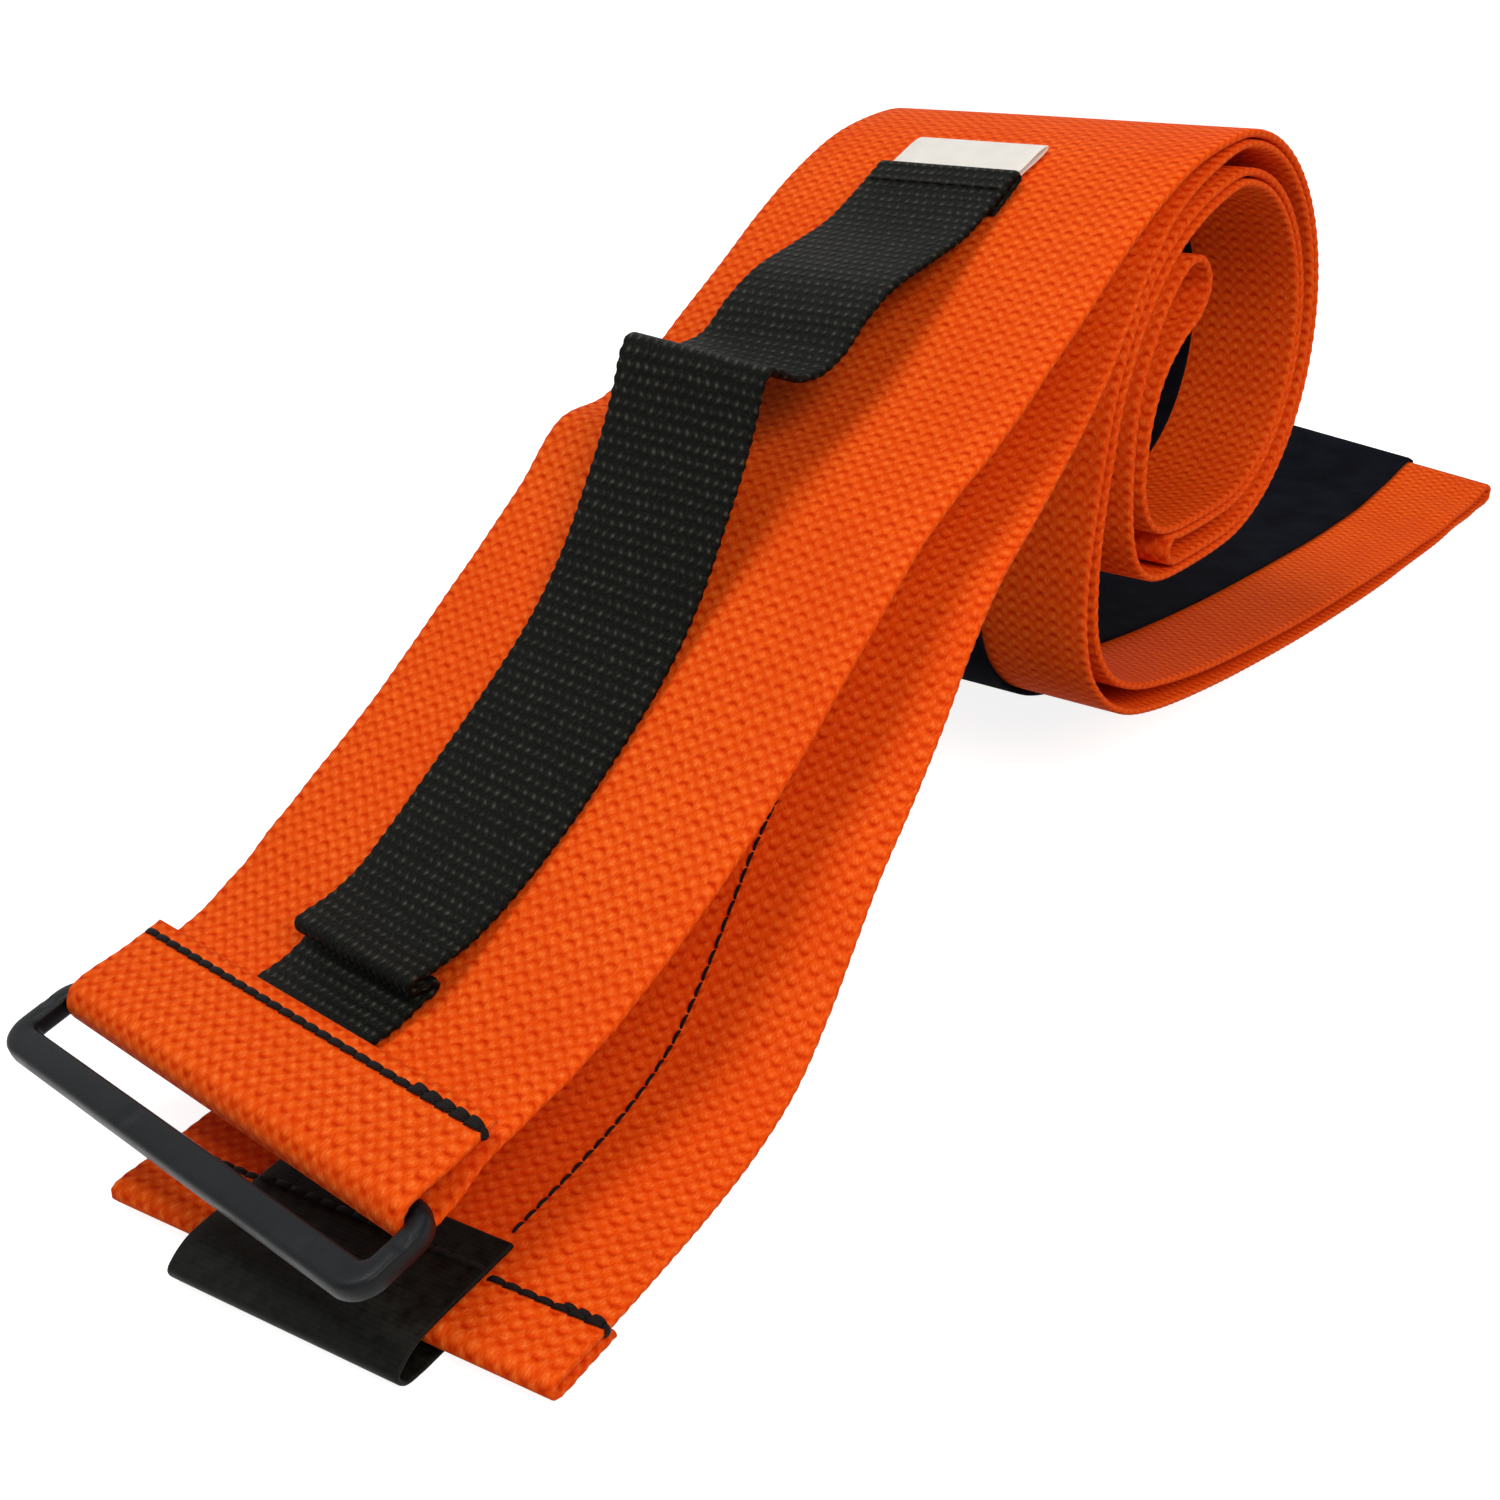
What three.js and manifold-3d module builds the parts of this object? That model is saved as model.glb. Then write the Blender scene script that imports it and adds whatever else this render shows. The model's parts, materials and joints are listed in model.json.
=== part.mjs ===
// Cinch strap with a ring, a grab handle and hook-and-loop closure, folded in four and rolled up.
// Millimetres, +Z up. X runs along the strap from the ring end to the folded tip, Y is across it.
import * as THREE from "three";
import { mergeVertices } from "three/addons/utils/BufferGeometryUtils.js";
import Module from "manifold-3d";

const wasm = await Module();
wasm.setup();

// Webbing, tapes and thread
const STRAP_WIDTH = 100;
const STRAP_THICKNESS = 2.0;
const TAPE_WIDTH = 50;
const TAPE_THICKNESS = 1.2;
const LOOP_TAPE_Y = 2.5;
const HANDLE_WIDTH = 38;
const HANDLE_THICKNESS = 1.6;
const HANDLE_Y = 4;
const HANDLE_NECK = 0.91;
const HANDLE_STITCH = 5;
const TAB_WIDTH = 52;
const TAB_THICKNESS = 1.0;
const LABEL_WIDTH = 35;
const LABEL_THICKNESS = 0.5;
const LABEL_LENGTH = 13;
const THREAD = 0.8;
const GAP = 0.3;

// Ring
const RING_BAR = 4.4;
const RING_SLOT = 11.2;
const RING_FRONT_WIDTH = 6.2;
const RING_THICKNESS = 4.4;
const RING_SIDE = 4.0;
const RING_SIDE_CLEARANCE = 0.5;
const RING_CORNER = 6;
const RING_TILT = 14;

// Heights and places along the strap
const BAR_X = 7;
const BAR_Z = 27.3;
const FLAP_LENGTH = 18.5;
const FLAP_STITCH = 15;
const HEM_LENGTH = 15;
const HEM_STITCH = 12;
const TIP_X = 476;
const ROLL_X = 277;
const ROLL_Z = 99.5;
const ROLL_RADIUS_X = 46.5;
const ROLL_RADIUS_Z = 49;
const CORNER_POWER = 5;
const HOOK_START_X = 19;
const HOOK_END_X = 205;
const THREAD_START_X = 24;
const TAPE_BUTT_GAP = 2;
const LOOP_START_ANGLE = 28;

// Pitches between the layers of the roll: bare faces touch, taped faces stand further apart
const BARE_PITCH = STRAP_THICKNESS + 0.5;
const TAPED_PITCH = STRAP_THICKNESS + 2 * (TAPE_THICKNESS + GAP) + 1.1;
const INSET_B = BARE_PITCH;
const INSET_D = INSET_B + TAPED_PITCH;
const INSET_C = INSET_D + BARE_PITCH;

// The lower front layer fans out sideways from the upper one
const FAN_DEGREES = 7.2;
const FAN_START_X = 250;
const FAN_BLEND = 50;
const HEM_SKEW_DEGREES = -3.3;
const HEM_Y = -3.2;
const SLOPE_TILT_DEGREES = 4.3;
const TIP_TILT_DEGREES = 7;
const TIP_CURL_LENGTH = 56;
const HUMP_X = 152;
const HUMP_TILT_DEGREES = 3.2;

const rad = THREE.MathUtils.degToRad;
const smooth = (x, from, to) => THREE.MathUtils.smoothstep(x, Math.min(from, to), Math.max(from, to));

// Sideways place, yaw and tilt of a stretch of strap, from its place along X
const level = () => ({ y: 0, yaw: 0, tilt: 0 });
const upperFront = (x) => {
  const hump = HUMP_TILT_DEGREES
    * smooth(x, HUMP_X - 22, HUMP_X - 2) * (1 - smooth(x, HUMP_X + 2, HUMP_X + 20));
  return {
    y: HEM_Y * (1 - smooth(x, 10, 48)),
    yaw: HEM_SKEW_DEGREES * (1 - smooth(x, 20, 130)),
    tilt: SLOPE_TILT_DEGREES * smooth(x, 25, 70) * (1 - smooth(x, 100, 175)) + hump,
    lift: STRAP_WIDTH / 2 * Math.sin(rad(hump)),
  };
};
const lowerFront = (x) => {
  const slope = Math.tan(rad(FAN_DEGREES));
  const run = Math.max(0, FAN_START_X - x);
  const bent = Math.min(run, FAN_BLEND);
  return {
    y: -slope * (bent * bent / (2 * FAN_BLEND) + (run - bent)),
    yaw: THREE.MathUtils.radToDeg(Math.atan(slope * bent / FAN_BLEND)),
    tilt: 0,
  };
};
const tipEnd = (x) => {
  const tilt = TIP_TILT_DEGREES * smooth(x, TIP_X - TIP_CURL_LENGTH, TIP_X);
  return { y: 0, yaw: 0, tilt, lift: STRAP_WIDTH / 2 * Math.sin(rad(tilt)) };
};

// A route is a list of knots in the XZ plane, each with its sideways setting, and named marks on it
class Route {
  constructor() {
    this.knots = [];
    this.marks = {};
  }

  add(setting, ...points) {
    for (const [x, z] of points) {
      const { y, yaw, tilt, lift = 0 } = setting(x);
      this.knots.push({ p: new THREE.Vector3(x, y, z + lift), turn: new THREE.Vector3(yaw, tilt, 0) });
    }
    return this;
  }

  // An arc about a centre, in degrees from +X towards +Z
  arc(setting, [cx, cz], radius, from, to, count = 4) {
    for (let i = 0; i <= count; i++) {
      const a = rad(from + (to - from) * i / count);
      this.add(() => setting(cx), [cx + radius * Math.cos(a), cz + radius * Math.sin(a)]);
    }
    return this;
  }

  // A stretch round the roll: an ellipse, or a squarer curve where power is over 2
  round(radiusX, radiusZ, from, to, power = 2, step = 11) {
    const count = Math.max(1, Math.round(Math.abs(to - from) / step));
    for (let i = 0; i <= count; i++) {
      const a = rad(from + (to - from) * i / count);
      const c = Math.cos(a), s = Math.sin(a);
      this.add(level, [
        ROLL_X + radiusX * Math.sign(c) * Math.abs(c) ** (2 / power),
        ROLL_Z + radiusZ * Math.sign(s) * Math.abs(s) ** (2 / power),
      ]);
    }
    return this;
  }

  mark(name) {
    this.marks[name] = this.knots.length - 1;
    return this;
  }

  // Stations along the route, closer together where it bends
  stations() {
    const knots = this.knots.filter((k, i, all) => i === 0 || k.p.distanceTo(all[i - 1].p) > 0.05);
    const lookup = (name) => knots.indexOf(this.knots[this.marks[name]]);
    const centre = new THREE.CatmullRomCurve3(knots.map((k) => k.p), false, "centripetal");
    const turn = new THREE.CatmullRomCurve3(knots.map((k) => k.turn), false, "catmullrom", 0);
    const last = knots.length - 1;
    const perKnot = 14;
    const all = [];
    for (let i = 0; i <= last * perKnot; i++) {
      const t = i / (last * perKnot);
      const tangent = centre.getTangent(t);
      const { x: yaw, y: tilt } = turn.getPoint(t);
      const rung = new THREE.Vector3(
        -Math.sin(rad(yaw)), Math.cos(rad(yaw)) * Math.cos(rad(tilt)), Math.sin(rad(tilt)));
      rung.normalize();
      const normal = new THREE.Vector3().crossVectors(tangent, rung).normalize();
      all.push({ at: i / perKnot, p: centre.getPoint(t), tangent, rung, normal });
    }
    let s = 0;
    all.forEach((a, i) => {
      if (i) s += a.p.distanceTo(all[i - 1].p);
      a.s = s;
    });
    const marks = Object.fromEntries(Object.keys(this.marks).map((name) => [
      name, all[lookup(name) * perKnot].s]));
    return { all, marks, length: s };
  }
}

// How far apart two stations may be in mm, and how far they may turn and twist in degrees. The faces of
// a wider strap bow more where it twists, so its stations twist less.
const MAX_STEP = 14;
const MAX_TURN = 11;
const MAX_TWIST = 70 / STRAP_WIDTH;
const MERGE_LENGTH = 0.5;

// Keeps the ends, the stations at the cuts, and as many between as the bends need
function thin(all, cuts = []) {
  const kept = [all[0]];
  for (let i = 1; i < all.length - 1; i++) {
    const before = kept[kept.length - 1];
    const next = all[i + 1];
    const turned = THREE.MathUtils.radToDeg(before.tangent.angleTo(next.tangent));
    const twisted = THREE.MathUtils.radToDeg(before.rung.angleTo(next.rung));
    const cut = cuts.some((c) => all[i - 1].s < c && all[i].s >= c);
    if (cut || turned > MAX_TURN || twisted > MAX_TWIST || next.s - before.s > MAX_STEP) kept.push(all[i]);
  }
  kept.push(all[all.length - 1]);
  return kept;
}

// The length along a route where a stretch between two marks passes a place along X
function lengthAtX(route, from, to, x) {
  const stretch = route.all.filter((a) => a.s >= from && a.s <= to);
  return stretch.reduce((best, a) => Math.abs(a.p.x - x) < Math.abs(best.p.x - x) ? a : best).s;
}

// A closed strip of rectangular section swept through stations. The offset is along the face normal,
// the shift is across the strip, and the width may be a function of the place along X.
function strip(stations, width, thickness, offset = 0, shift = 0) {
  const position = [];
  const index = [];
  const widthAt = typeof width === "function" ? width : () => width;
  for (const { p, rung, normal } of stations)
    for (const [across, up] of [[-0.5, -0.5], [0.5, -0.5], [0.5, 0.5], [-0.5, 0.5]]) {
      const v = p.clone().addScaledVector(rung, shift + across * widthAt(p.x))
        .addScaledVector(normal, offset + up * thickness);
      position.push(v.x, v.y, v.z);
    }
  const quad = (a, b, c, d) => index.push(a, b, c, a, c, d);
  for (let i = 0; i < stations.length - 1; i++)
    for (let k = 0; k < 4; k++) {
      const a = 4 * i + k, b = 4 * i + (k + 1) % 4;
      quad(a, b, b + 4, a + 4);
    }
  quad(0, 3, 2, 1);
  const e = 4 * (stations.length - 1);
  quad(e, e + 1, e + 2, e + 3);
  const g = new THREE.BufferGeometry();
  g.setAttribute("position", new THREE.Float32BufferAttribute(position, 3));
  g.setIndex(index);
  return g;
}

// Turns a closed geometry into a solid, and back
function solid(geometry) {
  const g = geometry.clone();
  for (const name of ["normal", "uv"]) g.deleteAttribute(name);
  const merged = mergeVertices(g, 1e-4);
  return new wasm.Manifold(new wasm.Mesh({
    numProp: 3,
    vertProperties: new Float32Array(merged.attributes.position.array),
    triVerts: new Uint32Array(merged.index.array),
  }));
}
function geometryOf(manifold) {
  const m = manifold.getMesh();
  const g = new THREE.BufferGeometry();
  g.setAttribute("position", new THREE.Float32BufferAttribute(m.vertProperties, 3));
  g.setIndex(new THREE.BufferAttribute(m.triVerts, 1));
  return g;
}

const group = new THREE.Group();
function part(name, geometry, color, roughness, metalness = 0) {
  const flat = geometry.index ? geometry.toNonIndexed() : geometry;
  flat.computeVertexNormals();
  const mesh = new THREE.Mesh(flat, new THREE.MeshStandardMaterial({ color, roughness, metalness }));
  mesh.name = name;
  group.add(mesh);
  return mesh;
}
const ORANGE = 0xf0561a;
const BLACK = 0x16181a;

// ---- Strap route, from the cut edge of the ring hem to the cut edge of the tab hem ----
const TUNNEL_RADIUS = RING_BAR / 2 + 0.6 + STRAP_THICKNESS / 2;
const FLAP_Z = BAR_Z + TUNNEL_RADIUS;
const FLOOR_Z = STRAP_THICKNESS / 2 + GAP + TAPE_THICKNESS;
const TIP_RADIUS = 2.2;
const HEM_FOLD_RADIUS = 1.35;
const HEM_LOW_Z = TAB_THICKNESS + GAP + STRAP_THICKNESS / 2 + 0.3;
const HEM_TOP_Z = HEM_LOW_Z + 2 * HEM_FOLD_RADIUS;

const strapRoute = new Route()
  // flap on top of the hem, forward to the ring bar and round it
  .add(upperFront, [BAR_X + FLAP_LENGTH, FLAP_Z + 2.3], [BAR_X + FLAP_LENGTH / 2, FLAP_Z + 1.1])
  .arc(upperFront, [BAR_X, BAR_Z], TUNNEL_RADIUS, 90, 270)
  // up the slope as the upper front layer
  .add(upperFront, [BAR_X + 7, BAR_Z - 2.4], [BAR_X + 15, BAR_Z + 0.6], [BAR_X + 27, BAR_Z + 2],
    [46, 32.2], [58, 37.6], [72, 44.5], [86, 52], [98, 59.5], [111, 68.3], [124, 77.5], [137, 86],
    [150, 93.8], [166, 100.8], [180, 107], [194, 115], [209, 123.5], [224, 132.5], [240, 140.5], [257, 146.3])
  .mark("crest")
  // outermost round the roll, then up the left wall and over into the curl
  .round(ROLL_RADIUS_X, ROLL_RADIUS_Z, 90, LOOP_START_ANGLE).mark("loopStart")
  .round(ROLL_RADIUS_X, ROLL_RADIUS_Z, LOOP_START_ANGLE - 9, -90)
  .round(ROLL_RADIUS_X, ROLL_RADIUS_Z, -97, -165, CORNER_POWER)
  .add(level, [231, 88], [233.5, 100], [239.5, 111], [247, 119.5], [255, 124.3])
  .add(level, [261.3, 123.4], [264.3, 118], [260.5, 112], [252, 107.6], [244, 101], [238.6, 91])
  // back down and round the inside of the roll
  .round(ROLL_RADIUS_X - 5.5, ROLL_RADIUS_Z - INSET_C, 195, 263, CORNER_POWER)
  .round(ROLL_RADIUS_X - INSET_C, ROLL_RADIUS_Z - INSET_C, 270, 450)
  // out of the roll at the top left, down beside it and along the floor to the tip
  .add(level, [262, 134.2], [250, 129.2], [240, 121.8], [231.5, 111.5], [225.3, 100], [221.3, 87],
    [217.8, 73], [216.2, 59], [217, 47], [220.5, 39], [226.5, 32.5], [236, 27.3], [250, 23],
    [276, 17.6], [322, 11.7], [372, 7.8], [412, 5.9])
  .add(tipEnd, [440, 5.4], [462, 6])
  .arc(tipEnd, [TIP_X - TIP_RADIUS, FLOOR_Z + TIP_RADIUS], TIP_RADIUS, 90, -90)
  .add(tipEnd, [462, FLOOR_Z], [440, FLOOR_Z])
  .add(level, [400, FLOOR_Z], [372, 3.2], [322, 6.8], [276, 12.2], [246, 17.6], [232, 22.2], [222.3, 28.5],
    [215.3, 37], [212, 47], [211.6, 60], [213.9, 73.5], [217.6, 88], [221.8, 101.5], [228.4, 113.8],
    [237.6, 124.6], [248.6, 132], [261, 136.9])
  // round the roll again, and the fold in its lower left corner
  .round(ROLL_RADIUS_X - INSET_D, ROLL_RADIUS_Z - INSET_D, 90, -90)
  .round(ROLL_RADIUS_X - INSET_D, ROLL_RADIUS_Z - INSET_D, -97, -107, CORNER_POWER)
  .arc(level, [253.2, 56.9], 3.3, 96, 264)
  .round(ROLL_RADIUS_X - INSET_B, ROLL_RADIUS_Z - INSET_B, -102, -97, CORNER_POWER)
  .round(ROLL_RADIUS_X - INSET_B, ROLL_RADIUS_Z - INSET_B, -90, 90).mark("lowerTop")
  // down the slope as the lower front layer, to the tab hem
  .add(lowerFront, [259, 142], [246, 136.6], [234, 128.6], [222, 118], [208, 107], [190, 97], [172, 88],
    [156, 80.5], [143, 71], [131, 60], [118, 49.5], [104, 39.5], [94, 30.5], [84, 21.5], [72, 13.2],
    [58, 8.6], [44, 6.6], [30, HEM_TOP_Z + 0.5], [18, HEM_TOP_Z + 0.1])
  .mark("hem")
  .add(lowerFront, [8, HEM_TOP_Z])
  .arc(lowerFront, [0.4, HEM_LOW_Z + HEM_FOLD_RADIUS], HEM_FOLD_RADIUS, 90, 270)
  .mark("hemFold")
  .add(lowerFront, [8, HEM_LOW_Z], [HEM_LENGTH, HEM_LOW_Z]);

const strap = strapRoute.stations();

// Where the tapes and their threads start and stop along the strap
const onLowerFront = (x) => lengthAtX(strap, strap.marks.lowerTop, strap.marks.hem + 12, x);
const loopFrom = strap.marks.loopStart;
const hookFrom = onLowerFront(HOOK_END_X);
const loopTo = hookFrom - TAPE_BUTT_GAP;
const hookTo = onLowerFront(HOOK_START_X);
const threadTo = onLowerFront(THREAD_START_X);
const strapStations = thin(strap.all, [loopFrom, loopTo, hookFrom, hookTo, threadTo]);
const stretch = (from, to) => strapStations.filter((a) => a.s >= from - 0.01 && a.s <= to + MERGE_LENGTH);
part("main_strap", strip(strapStations, STRAP_WIDTH, STRAP_THICKNESS), ORANGE, 0.75);

// ---- Hook and loop tapes, sewn along one face of the strap ----
const TAPE_OFFSET = STRAP_THICKNESS / 2 + GAP + TAPE_THICKNESS / 2;
const loopTape = stretch(loopFrom, loopTo);
const hookTape = stretch(hookFrom, hookTo);
part("loop_tape", strip(loopTape, TAPE_WIDTH, TAPE_THICKNESS, TAPE_OFFSET, LOOP_TAPE_Y), BLACK, 0.95);
part("hook_tape", strip(hookTape, TAPE_WIDTH, TAPE_THICKNESS, TAPE_OFFSET), BLACK, 0.6);

// Two lines of thread along the edges of the hook tape, on the bare face of the strap
const THREAD_OFFSET = STRAP_THICKNESS / 2 + GAP + THREAD / 2;
const TAPE_STITCH = TAPE_WIDTH / 2 - 2;
for (const [name, side] of [["near", -1], ["far", 1]])
  part(`tape_thread_${name}`,
    strip(stretch(hookFrom, threadTo), THREAD, THREAD, -THREAD_OFFSET, side * TAPE_STITCH), BLACK, 0.5);

// ---- Threads across the strap ----
function crossThread(name, route, s, face, from, to) {
  const at = route.all.reduce((best, a) => Math.abs(a.s - s) < Math.abs(best.s - s) ? a : best);
  const ends = [-1, 1].map((side) => ({
    ...at, p: at.p.clone().addScaledVector(at.tangent, side * THREAD / 2)
  }));
  part(name, strip(ends, to - from, THREAD, face, (from + to) / 2), BLACK, 0.5);
}
const THREAD_MARGIN = 1;
crossThread("ring_hem_thread", strap, FLAP_LENGTH - FLAP_STITCH, -THREAD_OFFSET,
  -STRAP_WIDTH / 2 + THREAD_MARGIN, STRAP_WIDTH / 2 - THREAD_MARGIN);
const hemStitchAt = strap.marks.hemFold - HEM_STITCH - Math.PI * HEM_FOLD_RADIUS;
crossThread("tab_hem_thread", strap, hemStitchAt,
  -(STRAP_THICKNESS / 2 + 2 * GAP + TAB_THICKNESS + THREAD / 2),
  -STRAP_WIDTH / 2 + THREAD_MARGIN, STRAP_WIDTH / 2 - THREAD_MARGIN);

// ---- Pull tab: a tape wrapped round the end of the strap, with a slack nose ----
const tabTopZ = HEM_TOP_Z + STRAP_THICKNESS / 2 + GAP + TAB_THICKNESS / 2;
const tabLowZ = TAB_THICKNESS / 2;
const tab = new Route()
  .add(lowerFront, [19.5, tabTopZ + 0.25], [10, tabTopZ + 0.1], [0, tabTopZ], [-5, tabTopZ - 0.5],
    [-8.6, tabTopZ - 2.2], [-10, 3.4], [-8.6, 1.2], [-5, tabLowZ + 0.05], [0, tabLowZ], [12, tabLowZ])
  .stations();
part("pull_tab", strip(thin(tab.all), TAB_WIDTH, TAB_THICKNESS), BLACK, 0.45);

// ---- Handle: a webbing loop sewn down at both ends, standing off the strap between them, ----
// and drawn in where it folds at its root
const necked = (x) => 1 - smooth(x, 45, 85);
const handleWidth = (x) => HANDLE_WIDTH * (1 - (1 - HANDLE_NECK) * necked(x));
const handleSetting = (x) => ({ ...upperFront(x), y: HANDLE_Y - 2.5 * necked(x), lift: 0 });
const onStrap = STRAP_THICKNESS / 2 + GAP + HANDLE_THICKNESS / 2;
const HANDLE_ROOT_Z = BAR_Z + 2 + onStrap;
const handle = new Route()
  .add(handleSetting, [BAR_X + 14, HANDLE_ROOT_Z - 0.9], [BAR_X + 18, HANDLE_ROOT_Z - 0.3],
    [BAR_X + 27, HANDLE_ROOT_Z + 0.3], [41, HANDLE_ROOT_Z + 2.3])
  .arc(handleSetting, [43, HANDLE_ROOT_Z + 3.6], 1.1, -75, 95)
  .arc(handleSetting, [39.4, HANDLE_ROOT_Z + 5.9], 1.15, -90, -270)
  .add(handleSetting, [45, HANDLE_ROOT_Z + 7.3], [54, 40.2], [64, 43.8], [74, 48.2], [86, 54.8], [98, 62.6],
    [108, 69.8], [116, 77], [123, 85], [130, 95], [136, 104], [141, 113], [144.6, 120.6])
  .add(handleSetting, [146.8, 122.6], [149.6, 121.8], [155, 119], [162, 117.6], [170.5, 119.2], [179, 124.6],
    [189, 129], [203, 131.8], [216, 134.6], [227, 139.2])
  .mark("sewnEnd")
  .add(handleSetting, [236, 143.6])
  .arc(handleSetting, [237, 143.1], 1.1, 80, -100)
  .add(handleSetting, [232, 139.4], [228, 137.3])
  .stations();
part("handle_strap", strip(thin(handle.all), handleWidth, HANDLE_THICKNESS), BLACK, 0.55);
crossThread("handle_end_thread", handle, handle.marks.sewnEnd + HANDLE_STITCH,
  HANDLE_THICKNESS / 2 + GAP + THREAD / 2, -HANDLE_WIDTH / 2 + THREAD_MARGIN, HANDLE_WIDTH / 2 - THREAD_MARGIN);

// ---- Label: a blank tape folded double, sewn at the handle's end ----
const labelRoot = new THREE.Vector2(240.2, 143.1);
const labelSlope = rad(17);
const labelPoint = (along, up) => [
  labelRoot.x + along * Math.cos(labelSlope) - up * Math.sin(labelSlope),
  labelRoot.y + along * Math.sin(labelSlope) + up * Math.cos(labelSlope)];
const label = new Route()
  .add(handleSetting, labelPoint(0, 0), labelPoint(LABEL_LENGTH - 2, 0.2), labelPoint(LABEL_LENGTH, 0.75),
    labelPoint(LABEL_LENGTH - 2, 1.35), labelPoint(0, 1))
  .stations();
part("label", strip(thin(label.all), LABEL_WIDTH, LABEL_THICKNESS), 0xf2f2ee, 0.6);

// ---- Ring: a moulded rectangle whose round rear bar turns in the hem tunnel ----
const innerWidth = STRAP_WIDTH + 2 * RING_SIDE_CLEARANCE;
const outerWidth = innerWidth + 2 * RING_SIDE;
const ringDepth = RING_SLOT + RING_FRONT_WIDTH;
function roundedRectangle(x0, x1, halfWidth, corner) {
  const s = new THREE.Shape();
  s.moveTo(x0 + corner, -halfWidth);
  s.lineTo(x1 - corner, -halfWidth).absarc(x1 - corner, -halfWidth + corner, corner, -Math.PI / 2, 0);
  s.lineTo(x1, halfWidth - corner).absarc(x1 - corner, halfWidth - corner, corner, 0, Math.PI / 2);
  s.lineTo(x0 + corner, halfWidth).absarc(x0 + corner, halfWidth - corner, corner, Math.PI / 2, Math.PI);
  s.lineTo(x0, -halfWidth + corner).absarc(x0 + corner, -halfWidth + corner, corner, Math.PI, 1.5 * Math.PI);
  return s;
}
const plate = new THREE.ExtrudeGeometry(
  roundedRectangle(-ringDepth, RING_BAR / 2, outerWidth / 2, RING_CORNER),
  { depth: RING_THICKNESS - 1.2, bevelEnabled: true, bevelThickness: 0.6, bevelSize: 0.6, bevelOffset: -0.6,
    bevelSegments: 2, curveSegments: 6 });
plate.translate(0, 0, -(RING_THICKNESS - 1.2) / 2);
const slot = new THREE.ExtrudeGeometry(
  roundedRectangle(-RING_SLOT, RING_BAR * 2, innerWidth / 2, 1.2),
  { depth: 3 * RING_THICKNESS, bevelEnabled: false, curveSegments: 6 });
slot.translate(0, 0, -1.5 * RING_THICKNESS);
const bar = new THREE.CylinderGeometry(RING_BAR / 2, RING_BAR / 2, outerWidth - RING_SIDE, 20);
const ring = solid(plate).subtract(solid(slot)).add(solid(bar));
const ringGeometry = geometryOf(ring);
const ringMesh = part("ring", ringGeometry, 0x1d2226, 0.45);
ringMesh.rotation.set(0, -rad(RING_TILT), rad(HEM_SKEW_DEGREES), "ZYX");
ringMesh.position.set(BAR_X, HEM_Y, BAR_Z);

// The origin is below the middle of the whole part's box, on the surface that it lies on
const box = new THREE.Box3().setFromObject(group, true);
const middle = box.getCenter(new THREE.Vector3());
for (const mesh of group.children) mesh.position.sub(new THREE.Vector3(middle.x, middle.y, box.min.z));

export default group;
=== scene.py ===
"""Looks of a rolled cinch strap with a ring and a handle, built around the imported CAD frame.
Blender works in metres. The routes of the strap, handle, pull tab and label are in millimetres,
as in the CAD source."""

import json
import math

import bpy
import numpy as np
from mathutils import Matrix, Vector


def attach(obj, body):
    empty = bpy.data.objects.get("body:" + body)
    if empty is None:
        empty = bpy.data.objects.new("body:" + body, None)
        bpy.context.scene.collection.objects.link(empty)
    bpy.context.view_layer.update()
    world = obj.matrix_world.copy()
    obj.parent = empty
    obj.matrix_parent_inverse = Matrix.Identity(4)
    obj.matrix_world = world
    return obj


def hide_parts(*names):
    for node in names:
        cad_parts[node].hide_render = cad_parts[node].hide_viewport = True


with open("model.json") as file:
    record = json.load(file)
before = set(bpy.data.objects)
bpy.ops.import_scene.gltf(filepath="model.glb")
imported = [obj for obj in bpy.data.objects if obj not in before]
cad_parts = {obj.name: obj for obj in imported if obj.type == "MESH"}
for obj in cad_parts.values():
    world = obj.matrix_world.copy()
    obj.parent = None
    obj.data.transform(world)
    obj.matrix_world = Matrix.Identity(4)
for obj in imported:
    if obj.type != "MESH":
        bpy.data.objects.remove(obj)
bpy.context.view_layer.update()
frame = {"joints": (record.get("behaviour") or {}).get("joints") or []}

MM = 0.001

# ---- Driving dimensions, in millimetres: the same values as in the CAD source ----
STRAP_WIDTH, STRAP_THICKNESS = 100.0, 2.0
TAPE_WIDTH, TAPE_THICKNESS, LOOP_TAPE_Y = 50.0, 1.2, 2.5
HANDLE_WIDTH, HANDLE_THICKNESS, HANDLE_Y, HANDLE_NECK = 38.0, 1.6, 4.0, 0.91
TAB_WIDTH, TAB_THICKNESS = 52.0, 1.0
LABEL_WIDTH, LABEL_THICKNESS, LABEL_LENGTH = 35.0, 0.5, 13.0
GAP = 0.3
RING_BAR, RING_SLOT, RING_FRONT_WIDTH, RING_THICKNESS, RING_SIDE = 4.4, 11.2, 6.2, 4.4, 4.0
RING_SIDE_CLEARANCE, RING_TILT = 0.5, 14.0
BAR_X, BAR_Z = 7.0, 27.3
FLAP_LENGTH, FLAP_STITCH = 18.5, 15.0
HEM_LENGTH, HEM_STITCH = 15.0, 12.0
TIP_X = 476.0
ROLL_X, ROLL_Z, ROLL_RADIUS_X, ROLL_RADIUS_Z, CORNER_POWER = 277.0, 99.5, 46.5, 49.0, 5
HOOK_START_X, HOOK_END_X, THREAD_START_X, TAPE_BUTT_GAP, LOOP_START_ANGLE = 19.0, 205.0, 24.0, 2.0, 28
BARE_PITCH = STRAP_THICKNESS + 0.5
TAPED_PITCH = STRAP_THICKNESS + 2 * (TAPE_THICKNESS + GAP) + 1.1
INSET_B = BARE_PITCH
INSET_D = INSET_B + TAPED_PITCH
INSET_C = INSET_D + BARE_PITCH
FAN_DEGREES, FAN_START_X, FAN_BLEND = 7.2, 250.0, 50.0
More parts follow.
